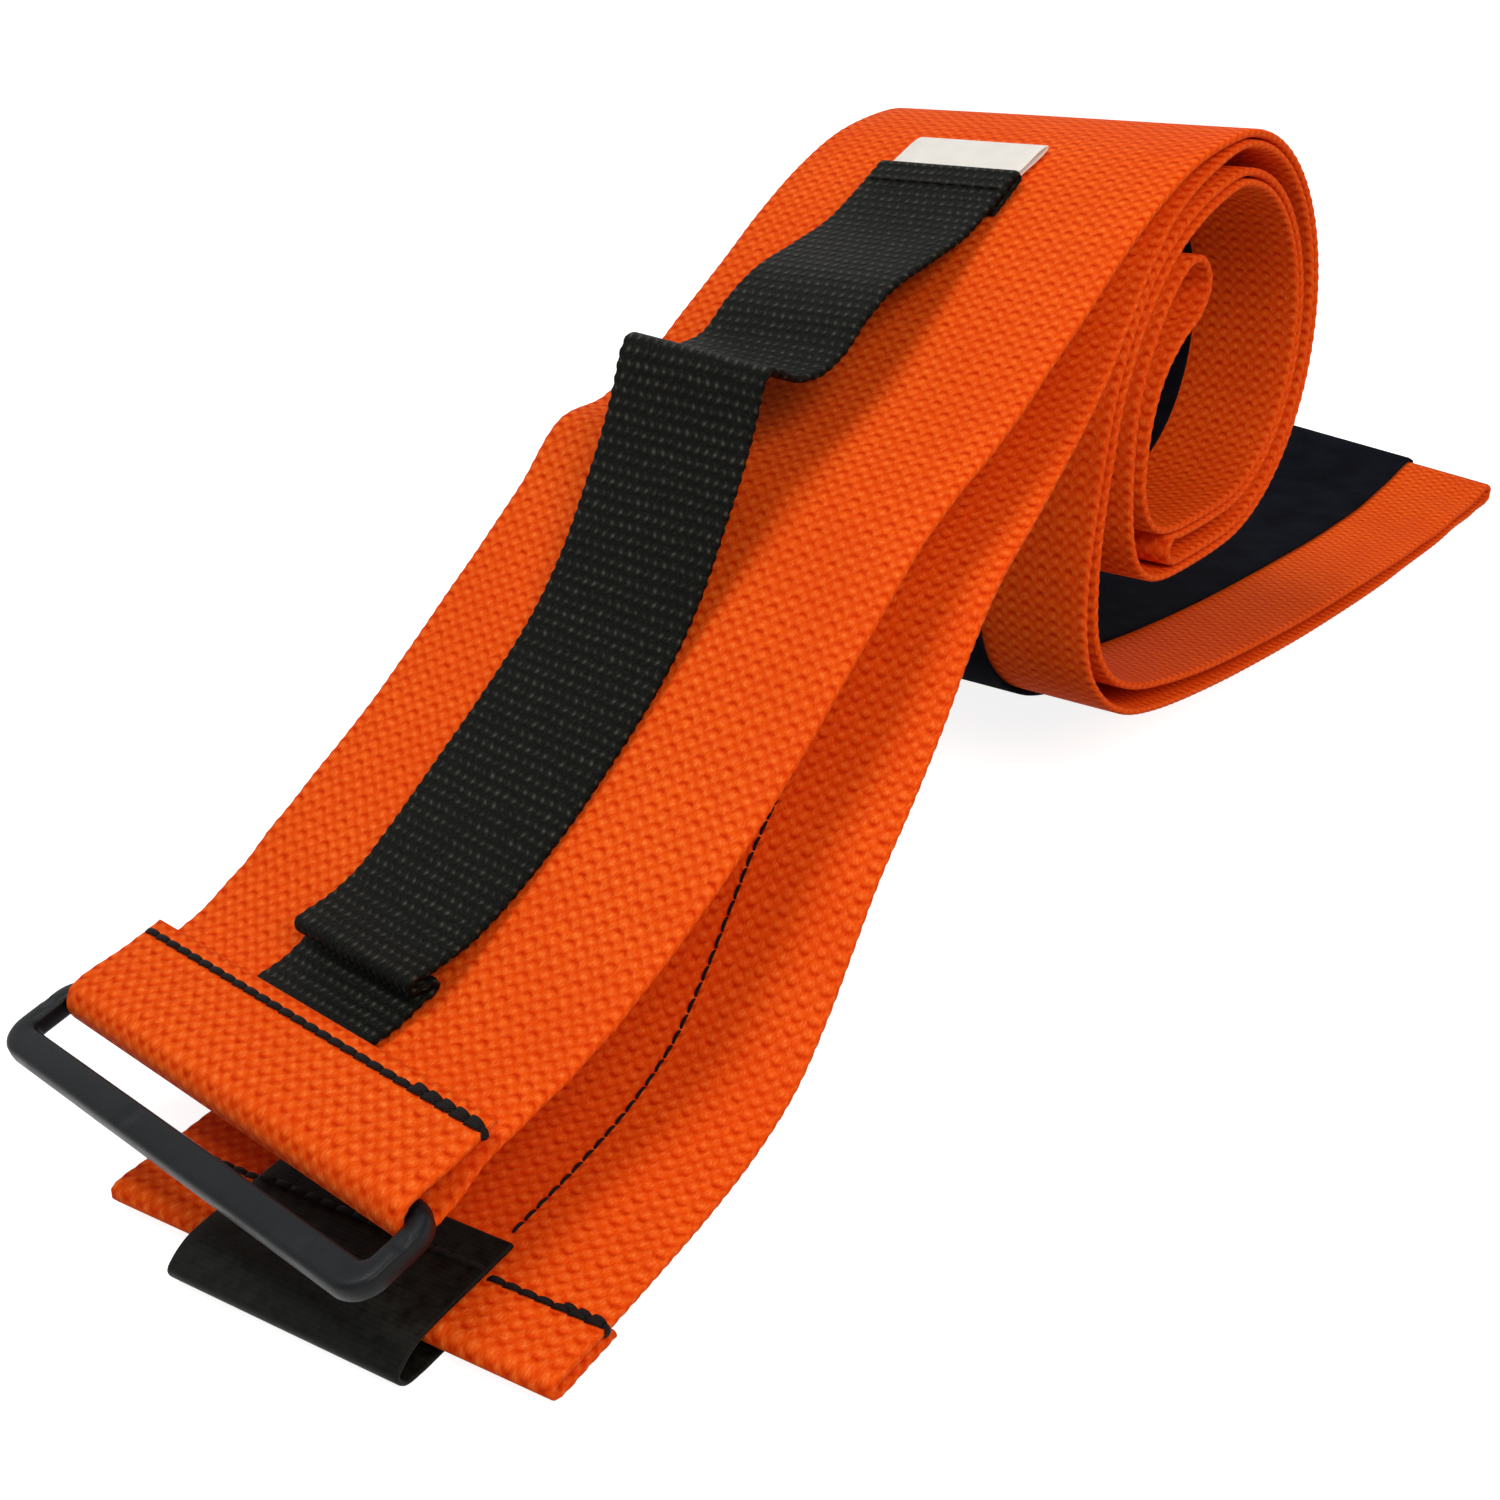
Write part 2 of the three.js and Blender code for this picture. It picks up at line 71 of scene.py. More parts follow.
HEM_SKEW_DEGREES, HEM_Y, SLOPE_TILT_DEGREES, TIP_TILT_DEGREES, TIP_CURL_LENGTH = -3.3, -3.2, 4.3, 7.0, 56.0
HUMP_X, HUMP_TILT_DEGREES = 152.0, 3.2

# Weaves, in millimetres: how wide one cell is across the webbing and how long one pick is along it
STRAP_CELL, STRAP_PICK = 3.6, 3.1
HANDLE_CELL, HANDLE_PICK = 2.35, 2.69
HOOK_CELL, HOOK_PICK = 0.9, 1.1
TAB_RIB, TAB_YARN, LABEL_THREAD = 0.95, 0.7, 0.35

# The ring's joint lies on the axis of its rear bar, which places the routes in the row frame
BAR_JOINT = next(j for j in frame["joints"] if j["name"] == "ring_swing")
ORIGIN = np.array(BAR_JOINT["pos_m"]) - np.array([BAR_X, HEM_Y, BAR_Z]) * MM


# ---- Routes ----
def smooth(x, start, end):
    """0 at start and 1 at end, with an even ramp between them."""
    t = min(1.0, max(0.0, (x - start) / (end - start)))
    return t * t * (3 - 2 * t)


# Sideways place, yaw, tilt and lift of a stretch of strap, from its place along X
def level(x):
    return 0.0, 0.0, 0.0, 0.0


def upper_front(x):
    yaw = HEM_SKEW_DEGREES * (1 - smooth(x, 20, 130))
    hump = HUMP_TILT_DEGREES * smooth(x, HUMP_X - 22, HUMP_X - 2) * (1 - smooth(x, HUMP_X + 2, HUMP_X + 20))
    tilt = SLOPE_TILT_DEGREES * smooth(x, 25, 70) * (1 - smooth(x, 100, 175)) + hump
    return HEM_Y * (1 - smooth(x, 10, 48)), yaw, tilt, STRAP_WIDTH / 2 * math.sin(math.radians(hump))


def lower_front(x):
    slope = math.tan(math.radians(FAN_DEGREES))
    run = max(0.0, FAN_START_X - x)
    bent = min(run, FAN_BLEND)
    y = -slope * (bent * bent / (2 * FAN_BLEND) + (run - bent))
    return y, math.degrees(math.atan(slope * bent / FAN_BLEND)), 0.0, 0.0


def tip_end(x):
    tilt = TIP_TILT_DEGREES * smooth(x, TIP_X - TIP_CURL_LENGTH, TIP_X)
    return 0.0, 0.0, tilt, STRAP_WIDTH / 2 * math.sin(math.radians(tilt))


def necked(x):
    return 1 - smooth(x, 45, 85)


def handle_setting(x):
    _, yaw, tilt, _ = upper_front(x)
    return HANDLE_Y - 2.5 * necked(x), yaw, tilt, 0.0


class Route:
    """A list of knots in the XZ plane, each with its sideways setting, and named marks on it."""

    def __init__(self):
        self.knots, self.marks = [], {}

    def add(self, setting, *points):
        for x, z in points:
            y, yaw, tilt, lift = setting(x)
            self.knots.append((x, y, z + lift, yaw, tilt))
        return self

    def arc(self, setting, centre, radius, start, end, count=4):
        """An arc about a centre, in degrees from +X towards +Z."""
        for a in np.radians(np.linspace(start, end, count + 1)):
            x, z = centre[0] + radius * math.cos(a), centre[1] + radius * math.sin(a)
            self.add(lambda _: setting(centre[0]), (x, z))
        return self

    def round(self, radius_x, radius_z, start, end, power=2, step=11):
        """A stretch round the roll: an ellipse, or a squarer curve where power is over 2."""
        count = max(1, int(abs(end - start) / step + 0.5))
        for a in np.radians(np.linspace(start, end, count + 1)):
            c, s = math.cos(a), math.sin(a)
            x = ROLL_X + radius_x * math.copysign(abs(c) ** (2 / power), c)
            z = ROLL_Z + radius_z * math.copysign(abs(s) ** (2 / power), s)
            self.add(level, (x, z))
        return self

    def mark(self, name):
        self.marks[name] = self.knots[-1]
        return self


class Line:
    """A route drawn out as a smooth curve through its knots. s is the length along it."""

    PER_KNOT = 24
    SAME_PLACE = 0.05  # knots nearer than this are one
    NEAR = 0.6  # directions are taken between places this far to each side

    def __init__(self, route):
        knots = [k for i, k in enumerate(route.knots)
                 if not i or math.dist(k[:3], route.knots[i - 1][:3]) > self.SAME_PLACE]
        self.all = self._through(np.array(knots))
        steps = np.linalg.norm(np.diff(self.all[:, :3], axis=0), axis=1)
        self.s = np.concatenate([[0], np.cumsum(steps)])
        self.length = self.s[-1]
        self.marks = {n: self.s[knots.index(k) * self.PER_KNOT] for n, k in route.marks.items()}

    def _through(self, knots):
        """A centripetal Catmull-Rom curve through the points. Yaw and tilt ease from knot to knot."""
        ends = 2 * knots[[0, -1]] - knots[[1, -2]]
        k = np.vstack([ends[:1], knots, ends[1:]])
        p, turn = k[:, :3], k[:, 3:]
        d = np.linalg.norm(np.diff(p, axis=0), axis=1)[:, None] ** 0.5
        d0, d1, d2 = d[:-2], d[1:-1], d[2:]
        p0, p1, p2, p3 = p[:-3], p[1:-2], p[2:-1], p[3:]
        t1 = ((p1 - p0) / d0 - (p2 - p0) / (d0 + d1) + (p2 - p1) / d1) * d1
        t2 = ((p2 - p1) / d1 - (p3 - p1) / (d1 + d2) + (p3 - p2) / d2) * d1
        w = (np.arange(self.PER_KNOT) / self.PER_KNOT)[None, :, None]
        a, b, e, f = p1[:, None], t1[:, None], p2[:, None], t2[:, None]
        place = a + b * w + (3 * e - 3 * a - 2 * b - f) * w ** 2 + (2 * a - 2 * e + b + f) * w ** 3
        ease = w * w * (3 - 2 * w)
        turned = turn[1:-2, None] * (1 - ease) + turn[2:-1, None] * ease
        both = np.concatenate([place, turned], axis=2).reshape(-1, 5)
        return np.vstack([both, knots[-1:]])

    def at(self, s):
        """Place, direction along, direction across and face normal at lengths along the line."""
        def place(v):
            return np.stack([np.interp(v, self.s, self.all[:, i]) for i in range(3)], 1)
        along = place(np.minimum(s + self.NEAR, self.length)) - place(np.maximum(s - self.NEAR, 0))
        along /= np.linalg.norm(along, axis=1)[:, None]
        yaw, tilt = (np.radians(np.interp(s, self.s, self.all[:, i])) for i in (3, 4))
        across = np.stack([-np.sin(yaw), np.cos(yaw) * np.cos(tilt), np.sin(tilt)], 1)
        across /= np.linalg.norm(across, axis=1)[:, None]
        normal = np.cross(along, across)
        return place(s), along, across, normal / np.linalg.norm(normal, axis=1)[:, None]

    def length_at_x(self, start, end, x):
        """The length along the line where a stretch of it passes a place along X."""
        inside = np.where((self.s >= start) & (self.s <= end), np.abs(self.all[:, 0] - x), np.inf)
        return self.s[inside.argmin()]


TUNNEL_RADIUS = RING_BAR / 2 + 0.6 + STRAP_THICKNESS / 2
FLAP_Z = BAR_Z + TUNNEL_RADIUS
FLOOR_Z = STRAP_THICKNESS / 2 + GAP + TAPE_THICKNESS
TIP_RADIUS = 2.2
HEM_FOLD_RADIUS = 1.35
HEM_LOW_Z = TAB_THICKNESS + GAP + STRAP_THICKNESS / 2 + 0.3
HEM_TOP_Z = HEM_LOW_Z + 2 * HEM_FOLD_RADIUS

strap = Line(
    Route()
    # flap on top of the hem, forward to the ring bar and round it
    .add(upper_front, (BAR_X + FLAP_LENGTH, FLAP_Z + 2.3), (BAR_X + FLAP_LENGTH / 2, FLAP_Z + 1.1))
    .arc(upper_front, (BAR_X, BAR_Z), TUNNEL_RADIUS, 90, 270)
    # up the slope as the upper front layer
    .add(upper_front, (BAR_X + 7, BAR_Z - 2.4), (BAR_X + 15, BAR_Z + 0.6), (BAR_X + 27, BAR_Z + 2),
         (46, 32.2), (58, 37.6), (72, 44.5), (86, 52), (98, 59.5), (111, 68.3), (124, 77.5), (137, 86),
         (150, 93.8), (166, 100.8), (180, 107), (194, 115), (209, 123.5), (224, 132.5), (240, 140.5),
         (257, 146.3))
    # outermost round the roll, then up the left wall and over into the curl
    .round(ROLL_RADIUS_X, ROLL_RADIUS_Z, 90, LOOP_START_ANGLE).mark("loop_start")
    .round(ROLL_RADIUS_X, ROLL_RADIUS_Z, LOOP_START_ANGLE - 9, -90)
    .round(ROLL_RADIUS_X, ROLL_RADIUS_Z, -97, -165, CORNER_POWER)
    .add(level, (231, 88), (233.5, 100), (239.5, 111), (247, 119.5), (255, 124.3))
    .add(level, (261.3, 123.4), (264.3, 118), (260.5, 112), (252, 107.6), (244, 101), (238.6, 91))
    # back down and round the inside of the roll
    .round(ROLL_RADIUS_X - 5.5, ROLL_RADIUS_Z - INSET_C, 195, 263, CORNER_POWER)
    .round(ROLL_RADIUS_X - INSET_C, ROLL_RADIUS_Z - INSET_C, 270, 450)
    # out of the roll at the top left, down beside it and along the floor to the tip
    .add(level, (262, 134.2), (250, 129.2), (240, 121.8), (231.5, 111.5), (225.3, 100), (221.3, 87),
         (217.8, 73), (216.2, 59), (217, 47), (220.5, 39), (226.5, 32.5), (236, 27.3), (250, 23),
         (276, 17.6), (322, 11.7), (372, 7.8), (412, 5.9))
    .add(tip_end, (440, 5.4), (462, 6))
    .arc(tip_end, (TIP_X - TIP_RADIUS, FLOOR_Z + TIP_RADIUS), TIP_RADIUS, 90, -90)
    .add(tip_end, (462, FLOOR_Z), (440, FLOOR_Z))
    .add(level, (400, FLOOR_Z), (372, 3.2), (322, 6.8), (276, 12.2), (246, 17.6), (232, 22.2),
         (222.3, 28.5), (215.3, 37), (212, 47), (211.6, 60), (213.9, 73.5), (217.6, 88), (221.8, 101.5),
         (228.4, 113.8), (237.6, 124.6), (248.6, 132), (261, 136.9))
    # round the roll again, and the fold in its lower left corner
    .round(ROLL_RADIUS_X - INSET_D, ROLL_RADIUS_Z - INSET_D, 90, -90)
    .round(ROLL_RADIUS_X - INSET_D, ROLL_RADIUS_Z - INSET_D, -97, -107, CORNER_POWER)
    .arc(level, (253.2, 56.9), 3.3, 96, 264)
    .round(ROLL_RADIUS_X - INSET_B, ROLL_RADIUS_Z - INSET_B, -102, -97, CORNER_POWER)
    .round(ROLL_RADIUS_X - INSET_B, ROLL_RADIUS_Z - INSET_B, -90, 90).mark("lower_top")
    # down the slope as the lower front layer, to the tab hem
    .add(lower_front, (259, 142), (246, 136.6), (234, 128.6), (222, 118), (208, 107), (190, 97), (172, 88),
         (156, 80.5), (143, 71), (131, 60), (118, 49.5), (104, 39.5), (94, 30.5), (84, 21.5), (72, 13.2),
         (58, 8.6), (44, 6.6), (30, HEM_TOP_Z + 0.5), (18, HEM_TOP_Z + 0.1)).mark("hem")
    .add(lower_front, (8, HEM_TOP_Z))
    .arc(lower_front, (0.4, HEM_LOW_Z + HEM_FOLD_RADIUS), HEM_FOLD_RADIUS, 90, 270).mark("hem_fold")
    .add(lower_front, (8, HEM_LOW_Z), (HEM_LENGTH, HEM_LOW_Z))
)

TAB_TOP_Z = HEM_TOP_Z + STRAP_THICKNESS / 2 + GAP + TAB_THICKNESS / 2
TAB_LOW_Z = TAB_THICKNESS / 2
tab_line = Line(
    Route()
    .add(lower_front, (19.5, TAB_TOP_Z + 0.25), (10, TAB_TOP_Z + 0.1), (0, TAB_TOP_Z),
         (-5, TAB_TOP_Z - 0.5), (-8.6, TAB_TOP_Z - 2.2), (-10, 3.4), (-8.6, 1.2),
         (-5, TAB_LOW_Z + 0.05), (0, TAB_LOW_Z), (12, TAB_LOW_Z))
)

HANDLE_ROOT_Z = BAR_Z + 2 + STRAP_THICKNESS / 2 + GAP + HANDLE_THICKNESS / 2
handle_line = Line(
    Route()
    .add(handle_setting, (BAR_X + 14, HANDLE_ROOT_Z - 0.9), (BAR_X + 18, HANDLE_ROOT_Z - 0.3),
         (BAR_X + 27, HANDLE_ROOT_Z + 0.3), (41, HANDLE_ROOT_Z + 2.3))
    .arc(handle_setting, (43, HANDLE_ROOT_Z + 3.6), 1.1, -75, 95)
    .arc(handle_setting, (39.4, HANDLE_ROOT_Z + 5.9), 1.15, -90, -270)
    .add(handle_setting, (45, HANDLE_ROOT_Z + 7.3), (54, 40.2), (64, 43.8), (74, 48.2), (86, 54.8),
         (98, 62.6), (108, 69.8), (116, 77), (123, 85), (130, 95), (136, 104), (141, 113), (144.6, 120.6))
    .add(handle_setting, (146.8, 122.6), (149.6, 121.8), (155, 119), (162, 117.6), (170.5, 119.2),
         (179, 124.6), (189, 129), (203, 131.8), (216, 134.6), (227, 139.2)).mark("sewn_end")
    .add(handle_setting, (236, 143.6))
    .arc(handle_setting, (237, 143.1), 1.1, 80, -100)
    .add(handle_setting, (232, 139.4), (228, 137.3))
)

LABEL_ROOT, LABEL_SLOPE = (240.2, 143.1), math.radians(17)


def label_point(along, up):
    c, s = math.cos(LABEL_SLOPE), math.sin(LABEL_SLOPE)
    return LABEL_ROOT[0] + along * c - up * s, LABEL_ROOT[1] + along * s + up * c


label_line = Line(
    Route().add(handle_setting, label_point(0, 0), label_point(LABEL_LENGTH - 2, 0.2),
                label_point(LABEL_LENGTH, 0.75), label_point(LABEL_LENGTH - 2, 1.35), label_point(0, 1))
)

# Where the tapes start and stop along the strap
LOOP_FROM = strap.marks["loop_start"]
HOOK_FROM = strap.length_at_x(strap.marks["lower_top"], strap.marks["hem"] + 12, HOOK_END_X)
LOOP_TO = HOOK_FROM - TAPE_BUTT_GAP
HOOK_TO = strap.length_at_x(strap.marks["lower_top"], strap.marks["hem"] + 12, HOOK_START_X)
THREAD_TO = strap.length_at_x(strap.marks["lower_top"], strap.marks["hem"] + 12, THREAD_START_X)
TAPE_OFFSET = STRAP_THICKNESS / 2 + GAP + TAPE_THICKNESS / 2


# ---- Meshes ----
def to_row(points):
    """Route millimetres to metres in the row frame."""
    return np.asarray(points) * MM + ORIGIN


def mesh_object(name, vertices, faces, uv=None, bake_uv=None):
    mesh = bpy.data.meshes.new(name)
    mesh.from_pydata(np.asarray(vertices).tolist(), [], faces)
    mesh.shade_smooth()
    for layer, values in (("weave", uv), ("OFBake", bake_uv)):
        if values is not None:
            mesh.uv_layers.new(name=layer).uv.foreach_set("vector", np.asarray(values, np.float32).ravel())
    mesh.validate()
    thing = bpy.data.objects.new(name, mesh)
    bpy.context.scene.collection.objects.link(thing)
    return thing


def section(width, thickness, columns, edge_points=5):
    """The outline of a webbing's cross-section: flat faces and rounded selvedges.
    Columns: place across, height, length round the outline, and which side's selvedge it is on."""
    r = thickness / 2
    flat = width / 2 - r
    lower = [(a, -r, 0) for a in np.linspace(-flat, flat, columns + 1)]
    turn = np.radians(np.linspace(-90, 90, edge_points + 2)[1:-1])
    right = [(flat + r * math.cos(a), r * math.sin(a), 1) for a in turn]
    upper = [(-a, r, 0) for a, _, _ in lower]
    left = [(-a, -b, -1) for a, b, _ in right]
    ring = np.array(lower + right + upper + left)
    steps = np.linalg.norm(np.diff(ring[:, :2], axis=0, append=ring[:1, :2]), axis=1)
    return ring, np.concatenate([[0], np.cumsum(steps)])


def ribbon(name, line, start, end, width, thickness, offset=0.0, shift=0.0, step=1.0, columns=10,
           scallop=0.0, pick=1.0, ripple=0.0, narrowing=None, bake_columns=1):
    """A closed strip of webbing along a line, with its weave coordinates in millimetres.
    Offset is its place off the line along the normal, and shift its place across. Scallop is how far
    the selvedge swells at each pick, ripple how far the faces wander, and narrowing gives the share
    of the width that is left at a place along X."""
    s = np.linspace(start, end, max(2, int((end - start) / step)) + 1)
    place, _, across, normal = line.at(s)
    ring, round_it = section(width, thickness, columns)
    n, m = len(s), len(ring)
    share = np.array([narrowing(x) if narrowing else 1.0 for x in place[:, 0]])
    a = ring[None, :, 0] * share[:, None] + shift
    a = a + scallop * ring[None, :, 2] * np.cos(2 * np.pi * s / pick)[:, None]
    wander = np.sin(s / 17 + 1) * np.sin(s / 41) * ripple
    b = ring[None, :, 1] + offset + wander[:, None] * np.cos(ring[None, :, 0] / width * 5 + s[:, None] / 60)
    points = place[:, None] + across[:, None] * a[..., None] + normal[:, None] * b[..., None]
    i, j = np.meshgrid(np.arange(n - 1), np.arange(m), indexing="ij")
    k = (j + 1) % m
    quads = np.stack([i * m + j, i * m + k, (i + 1) * m + k, (i + 1) * m + j], -1).reshape(-1, 4)
    u = np.stack([round_it[j], round_it[j + 1], round_it[j + 1], round_it[j]], -1).reshape(-1, 4)
    v = np.stack([s[i], s[i], s[i + 1], s[i + 1]], -1).reshape(-1, 4)
    # The bake map lays the strip out in columns side by side, with a small margin round each
    rows = math.ceil((n - 1) / bake_columns)
    column = np.broadcast_to(i // rows, i.shape).reshape(-1, 1)
    first = np.minimum(column * rows, n - 1)
    long = (s[-1] - s[0]) / bake_columns * 1.02
    bake = np.stack([(column + 0.01 + 0.98 * u / round_it[-1]) / bake_columns,
                     0.005 + 0.985 * (v - s[first]) / long], -1)
    caps = [list(range(m))[::-1], [(n - 1) * m + x for x in range(m)]]
    cap_uv = [np.stack([ring[c, 0] + width / 2, ring[c, 1]], -1)
              for c in (np.arange(m)[::-1], np.arange(m))]
    cap_bake = [x / (width * 60) for x in cap_uv]
    faces = quads.tolist() + caps
    uv = np.vstack([np.stack([u, v], -1).reshape(-1, 2), *cap_uv])
    bake = np.vstack([bake.reshape(-1, 2), *cap_bake])
    return mesh_object(name, to_row(points.reshape(-1, 3)), faces, uv, bake)


strap_piece = ribbon("strap_webbing", strap, 0, strap.length, STRAP_WIDTH, STRAP_THICKNESS - 0.1,
                     step=STRAP_PICK / 3, columns=12, scallop=0.11, pick=STRAP_PICK, ripple=0.1,
                     bake_columns=3)
loop_piece = ribbon("loop_tape_pile", strap, LOOP_FROM, LOOP_TO, TAPE_WIDTH, TAPE_THICKNESS, TAPE_OFFSET,
                    LOOP_TAPE_Y, step=2.0, columns=8, bake_columns=4)
hook_piece = ribbon("hook_tape_rows", strap, HOOK_FROM, HOOK_TO, TAPE_WIDTH, TAPE_THICKNESS, TAPE_OFFSET,
                    step=2.0, columns=8, bake_columns=2)
handle_piece = ribbon("handle_webbing", handle_line, 0, handle_line.length, HANDLE_WIDTH,
                      HANDLE_THICKNESS - 0.05, step=HANDLE_PICK / 4, scallop=0.2, pick=HANDLE_PICK,
                      narrowing=lambda x: 1 - (1 - HANDLE_NECK) * necked(x), bake_columns=2)
tab_piece = ribbon("pull_tab_tape", tab_line, 0, tab_line.length, TAB_WIDTH, TAB_THICKNESS,
                   step=0.5, columns=12)
label_piece = ribbon("label_tape", label_line, 0, label_line.length, LABEL_WIDTH, LABEL_THICKNESS,
                     step=0.4, columns=8)


# ---- Stitches: each is a short bar of thread that dives into the webbing at both ends ----
def stitches(name, starts, ends, normals, width, height, sink=0.25, points=7, sides=8):
    """One mesh of many stitches, from lists of their ends and face normals in millimetres."""
    vertices, faces = [], []
    for p, q, up in zip(starts, ends, normals):
        run = q - p
        side = np.cross(run / np.linalg.norm(run), up)
        first = len(vertices)
        for t in np.linspace(0, 1, points):
            arch = math.sin(math.pi * t) ** 0.5
            full = 0.7 + 0.3 * arch
            middle = p + run * t + up * (height * 0.5 * arch - sink * (1 - arch))
            for f in np.linspace(0, 2 * math.pi, sides, endpoint=False):
                vertices.append(middle + side * (width / 2 * full * math.cos(f))
                                + up * (height / 2 * full * math.sin(f)))
        for i in range(points - 1):
            for j in range(sides):
                k = (j + 1) % sides
                a, b = first + i * sides, first + (i + 1) * sides
                faces.append([a + j, a + k, b + k, b + j])
        faces.append([first + j for j in range(sides)][::-1])
        faces.append([first + (points - 1) * sides + j for j in range(sides)])
    return mesh_object(name, to_row(vertices), faces)


def stitch_row(line, s, face, shift, length):
    """Stitches one after another from stations s along a line, at a shift across and a face height."""
    place, along, across, normal = line.at(s)
    middle = place + across * shift + normal * face
    half = along * (length - SEAM_GAP) / 2
    return middle - half, middle + half, normal * np.sign(face)


def cross_row(line, s, face, start, end, count, slant):
    """A row of stitches across a line at s, from one shift to another, each end a little past the next."""
    place, along, across, normal = (v[0] for v in line.at(np.array([s])))
    edges = np.linspace(start, end, count + 1)
    p = [place + across * (a - CROSS_OVERLAP / 2) + normal * face - along * slant for a in edges[:-1]]
    q = [place + across * (a + CROSS_OVERLAP / 2) + normal * face + along * slant for a in edges[1:]]
    return p, q, [normal * np.sign(face)] * count


def edge_bar(line, s, upper, lower):
    """A stitch that turns over the near selvedge, from one face height to the other."""
    place, along, across, normal = (v[0] for v in line.at(np.array([s])))
    out = -across
    edge = place + out * (STRAP_WIDTH / 2 - 0.1)
    return [edge + normal * upper], [edge + normal * lower + along * 0.4], [out]


def joined(*rows):
    """Several rows of stitches as one."""
    return [np.concatenate([np.asarray(r[i]) for r in rows]) for i in range(3)]


# Widths and heights of the stitches, the gap and overlap between them, and where they lie
RING_HEM_THREAD, TAB_HEM_THREAD, SEAM_THREAD, HANDLE_THREAD = (1.5, 0.9), (1.4, 0.8), (0.8, 0.5), (0.9, 0.5)
SEAM_PITCH, SEAM_GAP, CROSS_OVERLAP = 3.4, 0.1, 0.2
STRAP_FACE = STRAP_THICKNESS / 2 + 0.02
TAPE_STITCH = TAPE_WIDTH / 2 - 2
EDGE = STRAP_WIDTH / 2

flap_s = FLAP_LENGTH - FLAP_STITCH
ring_hem_piece = stitches(
    "ring_hem_stitches",
    *joined(cross_row(strap, flap_s, -STRAP_FACE, -EDGE + 0.5, EDGE - 1, 27, slant=0.18),
            cross_row(strap, flap_s - 0.9, -STRAP_FACE, -EDGE + 0.5, -EDGE + 18, 5, slant=-0.25),
            edge_bar(strap, flap_s - 0.4, -STRAP_FACE - 0.3, STRAP_FACE)),
    *RING_HEM_THREAD)

hem_s = strap.marks["hem_fold"] - HEM_STITCH - math.pi * HEM_FOLD_RADIUS
tab_face = STRAP_THICKNESS / 2 + GAP + TAB_THICKNESS + 0.02
half_tab = TAB_WIDTH / 2
tab_hem_piece = stitches(
    "tab_hem_stitches",
    *joined(cross_row(strap, hem_s, -STRAP_FACE, -EDGE + 0.5, -half_tab - 0.2, 7, slant=0.15),
            cross_row(strap, hem_s - 0.8, -STRAP_FACE, -EDGE + 0.5, -EDGE + 9, 3, slant=-0.2),
            cross_row(strap, hem_s, -STRAP_FACE, half_tab + 0.2, EDGE - 0.5, 7, slant=0.15),
            cross_row(strap, hem_s, -tab_face, -half_tab + 0.5, half_tab - 0.5, 14, slant=0.1),
            edge_bar(strap, hem_s - 0.4, -STRAP_FACE - 0.2, STRAP_FACE)),
    *TAB_HEM_THREAD)

seam_s = np.arange(HOOK_FROM + 2, THREAD_TO, SEAM_PITCH)
seam_pieces = {
    side: stitches(f"hook_tape_stitches_{side}",
                   *stitch_row(strap, seam_s, -STRAP_FACE, sign * TAPE_STITCH, SEAM_PITCH), *SEAM_THREAD)
    for side, sign in (("near", -1), ("far", 1))
}
handle_end_piece = stitches(
    "handle_end_stitches",
    *cross_row(handle_line, handle_line.marks["sewn_end"] + 5, HANDLE_THICKNESS / 2 + 0.02,
               -HANDLE_WIDTH / 2 + 1, HANDLE_WIDTH / 2 - 1, 10, slant=0.1),
    *HANDLE_THREAD)


# ---- Ring ----
def rounded_outline(x0, x1, half_width, corner, straight, turn=10):
    """Points round a rectangle with rounded corners, as many on each side for any size."""
    points = []
    sides = [((x0, -half_width), (x1, -half_width)), ((x1, -half_width), (x1, half_width)),
             ((x1, half_width), (x0, half_width)), ((x0, half_width), (x0, -half_width))]
    for (start, end), count in zip(sides, straight):
        p, q = np.array(start), np.array(end)
        d = (q - p) / np.linalg.norm(q - p)
        n = np.array([-d[1], d[0]])
        a, b = p + d * corner, q - d * corner
        points += [a + (b - a) * t for t in np.linspace(0, 1, count + 1)]
        centre = b + n * corner
        points += [centre + corner * (d * math.sin(f) - n * math.cos(f))
                   for f in np.radians(np.linspace(0, 90, turn + 2)[1:-1])]
    return np.array(points)


# Centre and radius of the round marks that the mould's pins leave on the top face
FRONT_X = -RING_SLOT - RING_FRONT_WIDTH / 2
EJECTOR_MARKS = [(FRONT_X, 12, 2.0), (FRONT_X, -40, 2.0), (-6, -STRAP_WIDTH / 2 - 2.8, 1.5),
                 (-6, STRAP_WIDTH / 2 + 2.8, 1.5)]


